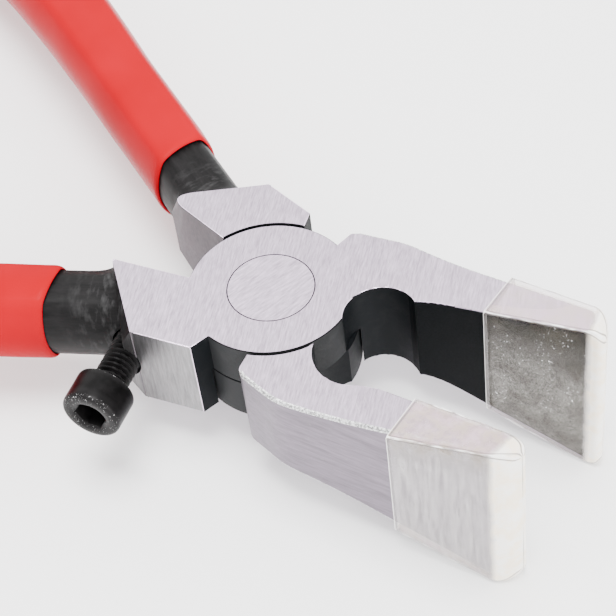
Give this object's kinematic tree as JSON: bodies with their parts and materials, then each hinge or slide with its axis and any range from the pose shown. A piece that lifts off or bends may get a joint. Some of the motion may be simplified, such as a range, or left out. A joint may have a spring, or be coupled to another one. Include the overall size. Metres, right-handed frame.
{
  "type": "running pliers",
  "caption": "Glass running pliers with two lapped steel halves on a flush rivet, tall flared jaws in clear covers, dipped grips and a screw that stops the jaws closing.",
  "frame": {"origin": "centre of the pivot rivet's upper face, which is flush with the head's upper face", "axes": "+X from the pivot towards the jaw tips, midway between the jaws; +Z along the pivot axis, out of the upper face; +Y towards the jaw of half_a"},
  "size_m": [0.1903, 0.1285, 0.027],
  "materials": {
    "ground_steel": "bright ground faces with a fine straight grain, black oxide in the recesses and on the tangs",
    "rivet_steel": "bright, ground flush with the faces",
    "black_oxide": "black oxide, lightly oiled satin",
    "red_vinyl": "glossy dipped vinyl",
    "clear_vinyl": "clear soft vinyl, slightly milky where thick"
  },
  "bodies": {
    "screw_side": {"half_a": "ground_steel", "grip_a": "red_vinyl", "jaw_cover_a": "clear_vinyl", "pivot_rivet": "rivet_steel"},
    "plain_side": {"half_b": "ground_steel", "grip_b": "red_vinyl", "jaw_cover_b": "clear_vinyl"},
    "stop_screw": {"stop_screw": "black_oxide"}
  },
  "joints": [
    {"name": "jaw_hinge", "type": "hinge", "parent": "screw_side", "child": "plain_side", "pos_m": [0, 0, 0], "axis": [0, 0, 1], "range_deg": [-28.5, 23.2]},
    {"name": "stop_screw_travel", "type": "slide", "parent": "screw_side", "child": "stop_screw", "axis": [-0.2147, 0.9767, 0], "range_m": [-0.008, 0.0035]}
  ]
}
